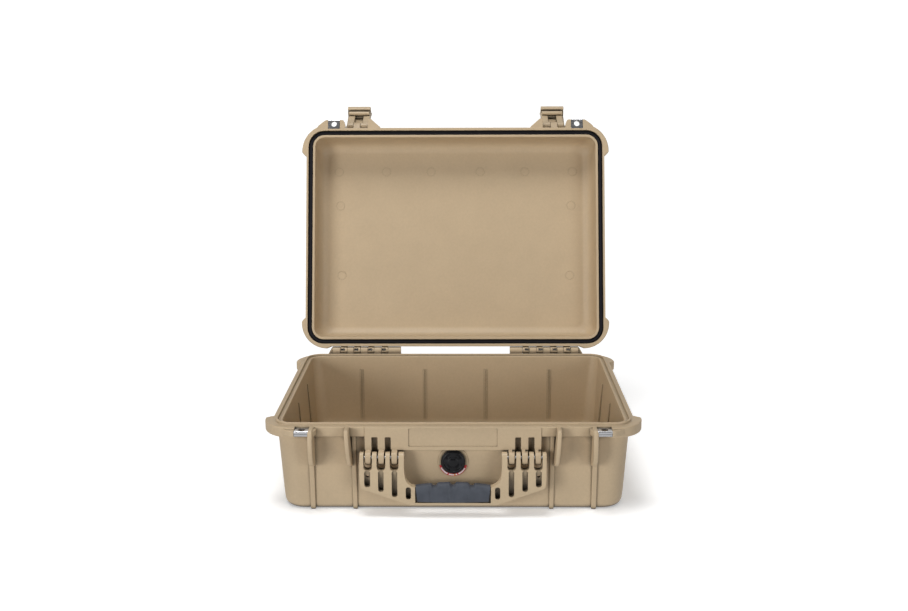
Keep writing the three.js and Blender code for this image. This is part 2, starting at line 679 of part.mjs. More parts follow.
hardCase.add(turnedAbout(HINGE.y, HINGE.z, -LID_OPEN_ANGLE, lid));

export default hardCase;
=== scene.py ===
import json
import math

import bmesh
import bpy
import numpy as np
from mathutils import Matrix, Vector


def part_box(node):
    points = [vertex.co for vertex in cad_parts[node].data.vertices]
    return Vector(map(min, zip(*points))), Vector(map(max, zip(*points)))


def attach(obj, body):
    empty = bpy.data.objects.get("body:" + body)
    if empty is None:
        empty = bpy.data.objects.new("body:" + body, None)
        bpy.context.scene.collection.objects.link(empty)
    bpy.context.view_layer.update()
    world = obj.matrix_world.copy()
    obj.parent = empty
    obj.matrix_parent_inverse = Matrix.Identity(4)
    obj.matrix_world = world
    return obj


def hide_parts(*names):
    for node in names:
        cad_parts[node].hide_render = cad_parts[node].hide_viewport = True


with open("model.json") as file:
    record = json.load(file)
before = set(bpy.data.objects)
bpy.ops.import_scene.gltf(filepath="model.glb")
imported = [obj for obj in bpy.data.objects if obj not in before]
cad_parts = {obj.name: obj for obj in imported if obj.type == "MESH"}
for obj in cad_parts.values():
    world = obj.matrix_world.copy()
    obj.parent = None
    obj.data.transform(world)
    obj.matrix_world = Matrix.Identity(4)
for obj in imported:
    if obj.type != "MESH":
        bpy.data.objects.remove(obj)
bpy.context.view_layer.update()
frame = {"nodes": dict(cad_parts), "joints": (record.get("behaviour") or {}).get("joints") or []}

# ---- Sizes, in millimetres, in the CAD frame: X right, Y back, Z up ------------------------

MM = 0.001
JOINTS = {joint["name"]: joint for joint in frame["joints"]}


def pivot(name):
    """The (y, z) of a hinge line at rest."""
    return tuple(JOINTS[name]["pos_m"][axis] / MM for axis in (1, 2))


def box_mm(node):
    low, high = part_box(node)
    return low / MM, high / MM


MOUTH = (229.5, 163.7, 15.0)            # half width, half depth and corner radius of the opening
FLANGE = (244.0, 179.3, 35.0)
FLOOR_OUT = 1.0                         # underside of the base, above its foot and its ribs
FLOOR_IN = 6.6
BASE_TOP = 120.5
BASE_TAB_TOP = 118.6
FLANGE_BOTTOM = 106.5
TONGUE_TOP = 124.0
PARTING = 121.0
LID_FLANGE_TOP = 132.5
LID_PLATE = 172.0
LID_CEILING = 167.4
LID_TOP = 175.0
LID_HINGE = pivot("lid_hinge")
LID_ANGLE = JOINTS["lid_hinge"]["range_deg"][1]
HANDLE_HINGE = pivot("handle_swing")
LATCH_HINGE = (-187.5, 151.0)           # with the lid shut
LATCH_ANGLE = JOINTS["latch_left_hinge"]["range_deg"][1]
LATCH_X = abs(JOINTS["latch_left_hinge"]["pos_m"][0]) / MM
LATCH_HALF = 19.2                       # half of the cover's width
LATCH_BARREL_END = 179.8
LUG_GAP = 6.0                           # half of the slot for the lid's lug
VALVE_LOW, VALVE_HIGH = box_mm("valve_knob")
VALVE_Z = (VALVE_LOW.z + VALVE_HIGH.z) / 2
VALVE_SEAT = VALVE_LOW.y + 6.4
PADLOCK_X = 199.3
PADLOCK_Y = -186.0
PADLOCK_HOLE = 4.7
TAB_DEPTH = 7.6
RIBS = ((132.2, 6.2), (189.2, 7.0))     # middle and width of the ribs that wrap the shells
SIDE_RIBS = (-62.0, 62.0)
BASE_FINGERS = ((73.4, 81.6), (90.8, 99.0), (108.4, 116.4))
FINGER_PLAY = 1.7                       # gap beside each of those fingers
PIN_BORE = 2.5                          # radius of the hinge and latch bores
HANDLE_BORE = 2.4
KNUCKLE = 6.0                           # radius of the lid hinge's knuckles
RIM_STEPS = 5                           # points on each rounded edge of the two tubs
BASE_KNUCKLES = ((88.5, 108.9), (120.4, 131.7), (142.5, 153.6), (165.4, 175.3), (187.4, 199.6))
LID_KNUCKLES = ((109.3, 120.0), (132.1, 142.1), (154.0, 165.0), (175.7, 187.0))
SIDES = (("left", -1), ("right", 1))


# ---- Mesh building -------------------------------------------------------------------------

def soften(points, radii, steps=4, closed=True):
    """Round the corners of a path of points, by one radius or one for each point."""
    points = [np.array(p, float) for p in points]
    count = len(points)
    if not hasattr(radii, "__len__"):
        radii = [radii] * count
    path = []
    for i, corner in enumerate(points):
        ends = not closed and i in (0, count - 1)
        if ends or radii[i] == 0:
            path.append(tuple(corner))
            continue
        before = points[i - 1] - corner
        after = points[(i + 1) % count] - corner
        start = corner + before * min(0.49, radii[i] / np.linalg.norm(before))
        end = corner + after * min(0.49, radii[i] / np.linalg.norm(after))
        for step in range(steps + 1):
            t = step / steps
            path.append(tuple((1 - t) ** 2 * start + 2 * t * (1 - t) * corner + t * t * end))
    return path


def circle(cx, cy, radius, steps=40):
    angles = [2 * math.pi * i / steps for i in range(steps)]
    return [(cx + radius * math.cos(a), cy + radius * math.sin(a)) for a in angles]


def rectangle(x0, x1, y0, y1):
    return [(x0, y0), (x1, y0), (x1, y1), (x0, y1)]


def mirrored(outline, side):
    """The outline for one side of the case, with its first coordinate turned over."""
    return [(p[0] * side,) + tuple(p[1:]) for p in outline]


def counterclockwise(loop):
    area = sum(a[0] * b[1] - b[0] * a[1] for a, b in zip(loop, loop[1:] + loop[:1]))
    return loop if area > 0 else loop[::-1]


def inset(loop, distance):
    """Move a counterclockwise loop inwards by a distance."""
    points = [np.array(p, float) for p in loop]
    result = []
    for i, point in enumerate(points):
        before = point - points[i - 1]
        after = points[(i + 1) % len(points)] - point
        normals = [np.array((-d[1], d[0])) / max(np.linalg.norm(d), 1e-9) for d in (before, after)]
        mitre = (normals[0] + normals[1]) / max(1 + normals[0] @ normals[1], 0.4)
        result.append(tuple(point + mitre * distance))
    return result


def to_object(name, bm, material):
    """A new object from a mesh in millimetres, scaled to metres."""
    bmesh.ops.recalc_face_normals(bm, faces=bm.faces)
    for vertex in bm.verts:
        vertex.co *= MM
    mesh = bpy.data.meshes.new(name)
    bm.to_mesh(mesh)
    bm.free()
    piece = bpy.data.objects.new(name, mesh)
    bpy.context.scene.collection.objects.link(piece)
    mesh.materials.append(material)
    return piece


def join_rings(bm, near, far):
    """Quads between two rings of the same number of points."""
    for i in range(len(near)):
        j = (i + 1) % len(near)
        bm.faces.new((near[i], near[j], far[j], far[i]))


PLANES = {
    "X": lambda a, b, depth: (depth, a, b),
    "Y": lambda a, b, depth: (a, depth, b),
    "Z": lambda a, b, depth: (a, b, depth),
}


def prism(outline, low, high, axis="Z", bevel=1.0, holes=(), lean=0.0, steps=3):
    """An extruded outline with rounded rims. The outline lies across the axis, and bevel is one
    radius or a (low end, high end) pair. lean shifts the piece sideways per unit of height."""
    low, high = min(low, high), max(low, high)
    bevels = bevel if isinstance(bevel, tuple) else (bevel, bevel)
    rows = []
    for end, radius, sign in ((low, bevels[0], 1), (high, bevels[1], -1)):
        turn = [math.pi / 2 * step / steps for step in range(steps + 1)] if radius else [math.pi / 2]
        ring = [(radius * (1 - math.sin(a)), end + sign * radius * (1 - math.cos(a))) for a in turn]
        rows += ring if sign > 0 else ring[::-1]
    bm = bmesh.new()
    loops = [counterclockwise(list(outline))] + [counterclockwise(list(h))[::-1] for h in holes]
    caps = [[], []]
    for loop in loops:
        rings = []
        for distance, depth in rows:
            flat = inset(loop, distance) if distance > 1e-6 else loop
            ring = []
            for a, b in flat:
                point = Vector(PLANES[axis](a, b, depth))
                point.x += lean * point.z
                ring.append(bm.verts.new(point))
            rings.append(ring)
        for near, far in zip(rings, rings[1:]):
            join_rings(bm, near, far)
        caps[0].append(rings[0])
        caps[1].append(rings[-1])
    for cap in caps:
        if len(cap) == 1:
            bm.faces.new(cap[0])
            continue
        edges = []
        for ring in cap:
            edges += [bm.edges.get((ring[i - 1], ring[i])) for i in range(len(ring))]
        bmesh.ops.triangle_fill(bm, use_beauty=True, use_dissolve=False, edges=edges)
    return bm


def corner_ring(bm, x, y, radius, z, steps=12):
    """One level of a tub: a rounded rectangle about the Z axis."""
    ring = []
    for quarter, (sx, sy) in enumerate(((1, 1), (-1, 1), (-1, -1), (1, -1))):
        for step in range(steps + 1):
            angle = (quarter + step / steps) * math.pi / 2
            ring.append(bm.verts.new((
                sx * (x - radius) + radius * math.cos(angle),
                sy * (y - radius) + radius * math.sin(angle), z)))
    return ring


def swept_shell(levels, closed=False):
    """A surface through (half width, half depth, corner radius, z) levels, capped unless closed."""
    bm = bmesh.new()
    rings = [corner_ring(bm, *level) for level in levels]
    pairs = list(zip(rings, rings[1:]))
    if closed:
        pairs.append((rings[-1], rings[0]))
    for near, far in pairs:
        join_rings(bm, near, far)
    if not closed:
        bm.faces.new(rings[0])
        bm.faces.new(rings[-1])
    return bm


def tub(path):
    """A capped surface through (level, rounding) pairs, with levels as in swept_shell."""
    levels = [level for level, _ in path]
    roundings = [rounding for _, rounding in path]
    return swept_shell(soften(levels, roundings, steps=RIM_STEPS, closed=False))


def turned(profile, steps=64):
    """A solid turned about the valve's axis, from (distance behind the seat, radius) points."""
    bm = bmesh.new()
    rings = []
    for back, radius in profile:
        if radius < 1e-6:
            rings.append([bm.verts.new((0, VALVE_SEAT + back, VALVE_Z))])
            continue
        ring = circle(0, VALVE_Z, radius, steps)
        rings.append([bm.verts.new((x, VALVE_SEAT + back, z)) for x, z in ring])
    closed = len(rings[0]) > 1 and len(rings[-1]) > 1
    pairs = list(zip(rings, rings[1:])) + ([(rings[-1], rings[0])] if closed else [])
    for near, far in pairs:
        for i in range(steps):
            j = (i + 1) % steps
            corners = [near[i % len(near)], near[j % len(near)], far[j % len(far)], far[i % len(far)]]
            bm.faces.new(list(dict.fromkeys(corners)))
    return bm


def build(name, material, parts, cuts=(), inner=(), within=()):
    """Union the parts, keep what is within some shapes, take the cuts away, add what stands inside
    them, and smooth the result."""
    piece = to_object(name, parts[0], material)
    tools = [(to_object(name + "_tool", bm, material), "UNION") for bm in parts[1:]]
    tools += [(to_object(name + "_tool", bm, material), "INTERSECT") for bm in within]
    tools += [(to_object(name + "_tool", bm, material), "DIFFERENCE") for bm in cuts]
    tools += [(to_object(name + "_tool", bm, material), "UNION") for bm in inner]
    for tool, operation in tools:
        modifier = piece.modifiers.new(operation, "BOOLEAN")
        modifier.solver = "MANIFOLD"
        modifier.operation = operation
        modifier.object = tool
    bpy.context.view_layer.update()
    graph = bpy.context.evaluated_depsgraph_get()
    mesh = bpy.data.meshes.new_from_object(piece.evaluated_get(graph))
    piece.modifiers.clear()
    piece.data = mesh
    for tool, _ in tools:
        bpy.data.objects.remove(tool)
    return finish_mesh(piece)


def finish_mesh(piece, angle=32):
    """Smooth shading that keeps edges sharper than the angle."""
    bm = bmesh.new()
    bm.from_mesh(piece.data)
    bmesh.ops.remove_doubles(bm, verts=bm.verts, dist=1e-6)
    limit = math.radians(angle)
    for face in bm.faces:
        face.smooth = True
    for edge in bm.edges:
        edge.smooth = len(edge.link_faces) == 2 and edge.calc_face_angle(0) < limit
    bm.to_mesh(piece.data)
    bm.free()
    weighted = piece.modifiers.new("weighted_normals", "WEIGHTED_NORMAL")
    weighted.keep_sharp = True
    weighted.weight = 60
    return piece


def turn_about(piece, centre, degrees):
    """Turn a piece's mesh about the X-parallel line through (y, z)."""
    shift = Vector((0, centre[0], centre[1])) * MM
    turn = Matrix.Rotation(math.radians(degrees), 4, "X")
    piece.data.transform(Matrix.Translation(shift) @ turn @ Matrix.Translation(-shift))
    return piece


def place(piece, body, slot, *nodes):
    """Attach the piece to its body and hide the CAD nodes that it stands for. slot is not used."""
    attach(piece, body)
    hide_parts(*nodes)
    return piece


# ---- Materials -----------------------------------------------------------------------------

def node_material(name, roughness, metallic=0.0, specular=0.5):
    material = bpy.data.materials.new(name)
    material.use_nodes = True
    shader = material.node_tree.nodes["Principled BSDF"]
    shader.inputs["Roughness"].default_value = roughness
    shader.inputs["Metallic"].default_value = metallic
    shader.inputs["Specular IOR Level"].default_value = specular
    return material, material.node_tree, shader


def noise(tree, scale, detail=4.0, roughness=0.55, stretch=None):
    """A noise value over object coordinates, which are in metres."""
    coordinates = tree.nodes.new("ShaderNodeTexCoord")
    texture = tree.nodes.new("ShaderNodeTexNoise")
    texture.inputs["Scale"].default_value = scale
    texture.inputs["Detail"].default_value = detail
    texture.inputs["Roughness"].default_value = roughness
    source = coordinates.outputs["Object"]
    if stretch:
        mapping = tree.nodes.new("ShaderNodeMapping")
        mapping.inputs["Scale"].default_value = stretch
        tree.links.new(source, mapping.inputs["Vector"])
        source = mapping.outputs["Vector"]
    tree.links.new(source, texture.inputs["Vector"])
    return texture.outputs["Fac"]


def ramp(tree, value, stops):
    node = tree.nodes.new("ShaderNodeValToRGB")
    elements = node.color_ramp.elements
    while len(elements) < len(stops):
        elements.new(0.5)
    for element, (position, color) in zip(elements, stops):
        element.position = position
        element.color = (*color, 1)
    tree.links.new(value, node.inputs["Fac"])
    return node.outputs["Color"]


def bump(tree, shader, layers):
    """Chain bump layers, each a (height value, strength, distance in metres)."""
    normal = None
    for height, strength, distance in layers:
        node = tree.nodes.new("ShaderNodeBump")
        node.inputs["Strength"].default_value = strength
        node.inputs["Distance"].default_value = distance
        tree.links.new(height, node.inputs["Height"])
        if normal:
            tree.links.new(normal, node.inputs["Normal"])
        normal = node.outputs["Normal"]
    tree.links.new(normal, shader.inputs["Normal"])


def range_map(tree, value, low, high, start=0.0, end=1.0):
    """Map a value that goes from start to end onto low to high."""
    node = tree.nodes.new("ShaderNodeMapRange")
    node.inputs["From Min"].default_value = start
    node.inputs["From Max"].default_value = end
    node.inputs["To Min"].default_value = low
    node.inputs["To Max"].default_value = high
    tree.links.new(value, node.inputs["Value"])
    return node.outputs["Result"]


def multiply(tree, first, second):
    node = tree.nodes.new("ShaderNodeMath")
    node.operation = "MULTIPLY"
    tree.links.new(first, node.inputs[0])
    tree.links.new(second, node.inputs[1])
    return node.outputs["Value"]


def painted_crevice_shade(tree, color, reach, darkest):
    """Paint shade into a colour in narrow slots and seams, darker where nearby surfaces close them in."""
    occlusion = tree.nodes.new("ShaderNodeAmbientOcclusion")
    occlusion.samples = 8
    occlusion.inputs["Distance"].default_value = reach
    shade = ramp(tree, occlusion.outputs["AO"], ((0.3, (darkest,) * 3), (0.8, (1.0,) * 3)))
    mix = tree.nodes.new("ShaderNodeMix")
    mix.data_type = "RGBA"
    mix.blend_type = "MULTIPLY"
    mix.inputs["Factor"].default_value = 1.0
    tree.links.new(color, mix.inputs["A"])
    tree.links.new(shade, mix.inputs["B"])
    return mix.outputs["Result"]


def moulded_plastic(name, color, roughness=0.5):
    """Fine spark-eroded texture with a faint mottling, slow changes of tone where it flowed, and painted
    shade in slots and seams.
    """
    material, tree, shader = node_material(name, roughness)
    dark = tuple(c * 0.93 for c in color)
    light = tuple(min(1, c * 1.06) for c in color)
    speckle = noise(tree, 260.0, detail=5.0, roughness=0.7)
    flow = noise(tree, 22.0, detail=3.0)
    both = tree.nodes.new("ShaderNodeMath")
    both.operation = "MULTIPLY_ADD"
    tree.links.new(speckle, both.inputs[0])
    both.inputs[1].default_value = 0.6
    tree.links.new(range_map(tree, flow, 0.0, 0.4), both.inputs[2])
    mottled = ramp(tree, both.outputs["Value"], ((0.3, dark), (0.7, light)))
    # Painted shade: ambient occlusion darkens the base colour in slots, pockets and seams.
    tree.links.new(painted_crevice_shade(tree, mottled, 0.010, 0.12), shader.inputs["Base Color"])
    wear = noise(tree, 45.0, detail=5.0)
    tree.links.new(range_map(tree, wear, roughness - 0.09, roughness + 0.09), shader.inputs["Roughness"])
    grain = noise(tree, 900.0, detail=3.0, roughness=0.6)
    waves = noise(tree, 60.0, detail=2.0)
    bump(tree, shader, ((waves, 0.12, 0.0012), (grain, 0.35, 0.00025)))
    return material


def rubber(name, color, roughness):
    material, tree, shader = node_material(name, roughness, specular=0.25)
    dark = tuple(c * 0.82 for c in color)
    light = tuple(c * 1.18 for c in color)
    mottled = ramp(tree, noise(tree, 60.0, detail=4.0), ((0.3, dark), (0.72, light)))
    # Painted shade: ambient occlusion darkens the grip's colour in its notches and grooves.
    tree.links.new(painted_crevice_shade(tree, mottled, 0.005, 0.35), shader.inputs["Base Color"])
    bump(tree, shader, ((noise(tree, 1400.0, detail=2.0), 0.3, 0.0002),))
    return material


def stainless(name, smooth, rough):
    material, tree, shader = node_material(name, smooth, metallic=1.0)
    scratches = noise(tree, 500.0, detail=4.0, roughness=0.6, stretch=(0.06, 1.0, 1.0))
    dark, light = (0.50, 0.50, 0.51), (0.72, 0.72, 0.74)
    tree.links.new(ramp(tree, scratches, ((0.25, dark), (0.75, light))), shader.inputs["Base Color"])
    tree.links.new(range_map(tree, scratches, smooth, rough), shader.inputs["Roughness"])
    bump(tree, shader, ((scratches, 0.12, 0.0001),))
    return material


def black_plastic(name):
    material, tree, shader = node_material(name, 0.36, specular=0.3)
    dark, light = (0.004, 0.004, 0.005), (0.009, 0.009, 0.011)
    mottled = ramp(tree, noise(tree, 90.0, detail=3.0), ((0.3, dark), (0.7, light)))
    tree.links.new(mottled, shader.inputs["Base Color"])
    tree.links.new(range_map(tree, noise(tree, 200.0, detail=3.0), 0.28, 0.46), shader.inputs["Roughness"])
    bump(tree, shader, ((noise(tree, 1200.0, detail=2.0), 0.15, 0.0002),))
    return material


def film(name, color):
    """Printed label film with a faint mottling of its ink."""
    material, tree, shader = node_material(name, 0.35)
    dark = tuple(c * 0.88 for c in color)
    mottled = ramp(tree, noise(tree, 700.0, detail=2.0), ((0.3, dark), (0.7, color)))
    tree.links.new(mottled, shader.inputs["Base Color"])
    bump(tree, shader, ((noise(tree, 900.0, detail=2.0), 0.08, 0.0001),))
    return material


TAN = moulded_plastic("tan_plastic", (0.530, 0.405, 0.258))
TAN_HANDLE = moulded_plastic("tan_handle_plastic", (0.550, 0.425, 0.272), 0.46)
GASKET = rubber("gasket_rubber", (0.007, 0.006, 0.009), 0.7)
GRIP = rubber("grip_rubber", (0.072, 0.080, 0.098), 0.6)
STEEL = stainless("stainless_steel", 0.16, 0.38)
PIN_STEEL = stainless("pin_steel", 0.45, 0.65)
BLACK = black_plastic("black_plastic")
LABEL_RED = film("label_red", (0.62, 0.018, 0.022))
LABEL_WHITE = film("label_white", (0.86, 0.80, 0.80))
LABEL_AMBER = film("label_amber", (0.80, 0.40, 0.08))


# ---- Features shared by the shells ---------------------------------------------------------

def corner_pad(side, end, reach, z0, z1, bevel):
    """A pad that stands proud of the flange round a corner: end is 1 at the back, -1 in front."""
    x, y = 209, 141
    steps = 16
    arc = []
    for step in range(steps + 1):
        angle = (1 - step / steps) * math.pi / 2
        arc.append((x + reach[0] * math.cos(angle), end * (y + reach[1] * math.sin(angle))))
    outline = [(198, 160 * end), (201, 179.3 * end)] + arc
    outline += [(x + reach[0], 138.5 * end), (243.8, 131.5 * end), (232, 131.5 * end)]
    radii = [0, 2.0] + [0] * len(arc) + [3.5, 3.5, 0]
    outline = soften(outline, radii)
    return prism(mirrored(outline, side), z0, z1, bevel=bevel)


def padlock_tab(side, z0, z1):
    outline = [(180.5, -168), (180.5, -184), (182.5, -190.5), (184.5, -192.6), (211.5, -192.6),
               (214.5, -191.4), (227, -181.5), (227, -168)]
    outline = soften(outline, [0, 3, 1.5, 1.5, 2, 2, 4, 0])
    return prism(mirrored(outline, side), z0, z1, bevel=1.0)


def padlock_seats(side, z0, z1):
    """Shallow seats on both faces and the front of a tab, for the folded steel plate."""
    half = 9.8
    x0, x1 = side * (PADLOCK_X - half), side * (PADLOCK_X + half)
    skin = 1.5
    return [
        prism(rectangle(x0, x1, -195, -177.8), z0 - 3, z0 + skin, bevel=0),
        prism(rectangle(x0, x1, -195, -177.8), z1 - skin, z1 + 3, bevel=0),
        prism(rectangle(x0, x1, -195, -191.3), z0 - 3, z1 + 3, bevel=0),
    ]


def padlock_hole(side):
    """The cut for a padlock's shackle, through the tab of either shell."""
    return prism(circle(side * PADLOCK_X, PADLOCK_Y, PADLOCK_HOLE, 32), 100, 136, bevel=0)


def padlock_plate(name, side, z0, z1):
    """Two steel leaves folded round the front of a tab, with a seam and one hole through both."""
    outline = [(-178.1, z0 + 0.1), (-192.8, z0 + 0.1), (-192.8, z1 - 0.1), (-178.1, z1 - 0.1),
               (-178.1, z1 - 1.2), (-191.6, z1 - 1.2), (-191.6, z0 + 1.2), (-178.1, z0 + 1.2)]
    outline = soften(outline, [0.4, 1.6, 1.6, 0.4, 0.4, 0.8, 0.8, 0.4])
    x0, x1 = side * (PADLOCK_X - 9.5), side * (PADLOCK_X + 9.5)
    middle = (z0 + z1) / 2
    hole = prism(circle(side * PADLOCK_X, PADLOCK_Y, PADLOCK_HOLE), z0 - 3, z1 + 3, bevel=0)
    seam = prism(rectangle(x0 - side, x1 + side, -194, -192.1), middle - 0.5, middle + 0.5, bevel=0)
    return build(name, STEEL, [prism(outline, x0, x1, "X", bevel=0.25, steps=2)], [hole, seam])


def wrap_rib(rib, side, rim_z, flat_z, up, bend, wall, front):
    """A rib that runs along the front wall, the flat underside or top (at flat_z) and the back
    wall. up is the direction from the flat to the rim."""
    bend_z = flat_z + up * bend
    inner_z = flat_z + up * 18
    outline = [(-160, rim_z), (-front, rim_z), (-wall, bend_z), (1 - wall, flat_z), (bend - wall, flat_z),
               (wall - bend, flat_z), (wall - 1, flat_z), (wall, bend_z), (176, rim_z), (160, rim_z),
               (150, inner_z), (-150, inner_z)]
    outline = soften(outline, [0, 0, 6, bend, 6, 6, bend, 6, 0, 0, 3, 3], steps=5)
    middle, width = rib
    return prism(outline, side * (middle - width / 2), side * (middle + width / 2), "X", bevel=1.5)


def side_rib(y, side, rim_z, flat_z, up):
    outline = [(222, rim_z), (240, rim_z), (233.4, flat_z + up * 20), (224, flat_z + up * 6),
               (216, flat_z + up * 8)]
    outline = soften(outline, [0, 0, 9, 2.4, 2.4])
    return prism(mirrored(outline, side), y - 3.2, y + 3.2, "Y", bevel=1.5)


def knuckle(y, z, x0, x1):
    return prism(circle(y, z, KNUCKLE), x0, x1, "X", bevel=0.5)


# ---- Base ----------------------------------------------------------------------------------

def base_body():
    """The outside of the base as one skin: underside, wall, flange and tongue."""
    return tub([
        ((200, 136, 8, FLOOR_OUT), 0),
        ((224.6, 165.0, 24, FLOOR_OUT), 3),
        ((229.8, 167.5, 26.4, FLOOR_OUT + 4.2), 5),
        ((231.2, 167.9, 27, FLOOR_OUT + 14), 8),
        ((237.2, 171.4, 30, FLANGE_BOTTOM), 2),
        ((*FLANGE, FLANGE_BOTTOM), 2.6),
        ((*FLANGE, BASE_TOP), 1.8),
        ((238.9, 173.1, 24.4, BASE_TOP), 0.5),
        ((238.2, 172.4, 23.7, TONGUE_TOP), 1.3),
        ((237.0, 171.2, 22.5, TONGUE_TOP), 0),
    ])


def base_cavity():
    """The space inside the base: floor, inner wall, ledge and the inner side of the tongue."""
    return tub([
        ((190, 126, 8, FLOOR_IN), 0),
        ((222.8, 158.6, 20, FLOOR_IN), 13),
        ((229.5, 163.7, 15, BASE_TOP + 1), 1.3),
        ((233.0, 167.2, 18.5, BASE_TOP + 1), 0.9),
        ((233.2, 167.4, 18.7, BASE_TOP + 0.1), 0.5),
        ((235.5, 169.7, 21.0, BASE_TOP + 0.1), 0.5),
        ((236.1, 170.3, 21.6, TONGUE_TOP + 0.1), 1.3),
        ((237.4, 171.6, 22.9, TONGUE_TOP + 0.2), 0),
        ((237.4, 171.6, 22.9, TONGUE_TOP + 8), 0),
    ])


def latch_guards(side):
    """Two fins that shelter a latch, the inner one leaning towards the middle of the case."""
    profile = soften([(-165, 120.5), (-193, 120.5), (-197.5, 117), (-200.5, 98), (-199, 82), (-191, 70),
                      (-176, 64), (-165, 62)], [0, 3, 4, 8, 8, 8, 8, 0])
    lean = side * 3.8 / 58.5
    start = side * 137.2 - lean * 120.5
    return [prism(profile, side * 184, side * 190.6, "X", bevel=1.9),
            prism(profile, start, start + side * 6, "X", bevel=1.9, lean=lean)]


def front_band():
    """The band under the flange, with open slots between the fingers of each handle mount."""
    bottom, slot_top, end = 88.4, 106.3, 117
    right = [(end, BASE_TOP - 0.5), (end, bottom)]
    for x0, x1 in ((99.8, 107.8), (82.4, 90.0)):
        right += [(x1, bottom), (x1, slot_top), (x0, slot_top), (x0, bottom)]
    left = [(-x, z) for x, z in reversed(right)]
    return prism(soften(right + left, 1.3, steps=3), -181, -166, "Y", bevel=0.8)


def handle_fingers(side):
    profile = soften([(-166, 92), (-181, 92), (-181, 88.6), (-187.5, 87), (-190.6, 84), (-190.6, 74.5),
                      (-188, 70.6), (-182, 69), (-166, 67)], [0, 0, 1, 2, 2.5, 3, 3, 3, 0])
    return [prism(profile, side * x0, side * x1, "X", bevel=0.9) for x0, x1 in BASE_FINGERS]


def base_hinge(side):
    y, z = LID_HINGE
    web = soften(mirrored([(84, 172), (88.5, 191.6), (199.6, 191.6), (212, 172)], side), [0, 3, 4, 0])
    neck = [(170, 108), (191.6, 108), (191.6, z), (179.6, z), (179.6, 120.4), (170, 120.4)]
    cheek = mirrored([(196, 112), (210, 112), (207, 120), (200.5, z + 5), (196, z + 5)], side)
    parts = [prism(web, 104, 116, bevel=2.0),
             prism(soften(cheek, [0, 0, 3, 3, 0]), 183.4, 191, "Y", bevel=1.0)]
    for x0, x1 in BASE_KNUCKLES:
        parts.append(prism(soften(neck, [0, 2, 0, 0, 0, 0]), side * x0, side * x1, "X", bevel=0.5))
        parts.append(knuckle(y, z, side * x0, side * x1))
    return parts


def inner_ribs():
    """Slim ribs moulded down the inside: pairs on the front and back walls, single ones on the sides."""
    parts = []
    for end in (-1, 1):
        profile = [(158 * end, 18), (166 * end, 18), (167 * end, 101), (161.4 * end, 101)]
        profile = soften(profile, [0, 0, 0, 1.5])
        for x in (-151, -49, 49, 151):
            for shift in (-2.0, 2.0):
                parts.append(prism(profile, x + shift - 0.7, x + shift + 0.7, "X", bevel=0.2, steps=2))
    for side in (-1, 1):
        profile = [(220 * side, 18), (230 * side, 18), (232 * side, 101), (226.4 * side, 101)]
        profile = soften(profile, [0, 0, 0, 1.5])
        for y in (-110, -15, 80):
            parts.append(prism(profile, y - 1.1, y + 1.1, "Y", bevel=0.5, steps=2))
    return parts


def ejector_mark(x, y, z, radius, height):
    """The faint raised disc that a mould's ejector pin leaves on the floor."""
    return prism(circle(x, y, radius, 36), z - 1, z + height, bevel=(0, 0.2), steps=2)


def ejector_ring(x, y, z, radius):
    """The raised edge that an ejector pin leaves on the lid's ceiling."""
    ring = circle(x, y, radius, 36)
    return prism(ring, z - 0.45, z + 1, bevel=(0.25, 0), holes=[circle(x, y, radius - 1.0, 36)], steps=2)


def base_side_parts(side):
    return [
        corner_pad(side, 1, (43.4, 41.6), FLANGE_BOTTOM - 0.5, BASE_TOP, bevel=(2.4, 1.4)),
        corner_pad(side, -1, (45.0, 43.5), FLANGE_BOTTOM - 0.5, BASE_TOP, bevel=(2.4, 1.4)),
        padlock_tab(side, BASE_TAB_TOP - TAB_DEPTH, BASE_TAB_TOP),
        *latch_guards(side),
        *handle_fingers(side),
        *base_hinge(side),
        *[wrap_rib(rib, side, FLANGE_BOTTOM + 1, 0, up=1, bend=4, wall=170.4, front=176) for rib in RIBS],
        *[side_rib(y, side, FLANGE_BOTTOM + 1, FLOOR_OUT, up=1) for y in SIDE_RIBS],
    ]


def base_side_cuts(side):
    """Padlock seats and hole, the space behind the band, finger notches and pin bores."""
    cuts = padlock_seats(side, BASE_TAB_TOP - TAB_DEPTH, BASE_TAB_TOP)
    cuts.append(padlock_hole(side))
    cuts.append(prism(rectangle(side * 79, side * 111, 92, 107.5), -178.5, -170.6, "Y", bevel=0))
    for _, x1 in BASE_FINGERS:
        notch = rectangle(side * x1 + 0.6, side * x1 - 3.4, 87.2, 89.6)
        cuts.append(prism(notch, -186, -179.5, "Y", bevel=0))
    cuts.append(prism(circle(*LID_HINGE, PIN_BORE, 24), side * 88, side * 201, "X", bevel=0))
    cuts.append(prism(circle(*HANDLE_HINGE, HANDLE_BORE, 24), side * 70, side * 125, "X", bevel=0))
    return cuts


def base_shell():
    foot = prism(soften(rectangle(-56, 56, -40, 40), 8), 0, FLOOR_OUT + 2, bevel=(0.8, 0))
    valve_boss = turned([(0, 0), (0, 19.6), (0.9, 20.5), (7, 20.5), (7, 0)])
    parts = [base_body(), front_band(), foot, valve_boss]
    cuts = [base_cavity()]
    for _, side in SIDES:
        parts += base_side_parts(side)
        cuts += base_side_cuts(side)
    name_panel = soften(rectangle(-59, 59, 93.4, 118.9), 1.2)
    cuts.append(prism(name_panel, -183, -179.7, "Y", bevel=(0, 0.5)))
    cuts.append(turned([(-12, 0), (-12, 12.4), (24, 12.4), (24, 0)]))
    marks = [ejector_mark(x, y, FLOOR_IN, 9, 0.5) for x in (-150, 0, 150) for y in (-95, 95)]
    piece = build("base_shell_skin", TAN, parts, cuts, inner_ribs() + marks)
    return place(piece, "base", "tan_plastic", "base_shell")


# ---- Lid, drawn shut and then swung open ---------------------------------------------------

def swung_open(piece):
    return turn_about(piece, LID_HINGE, -LID_ANGLE)


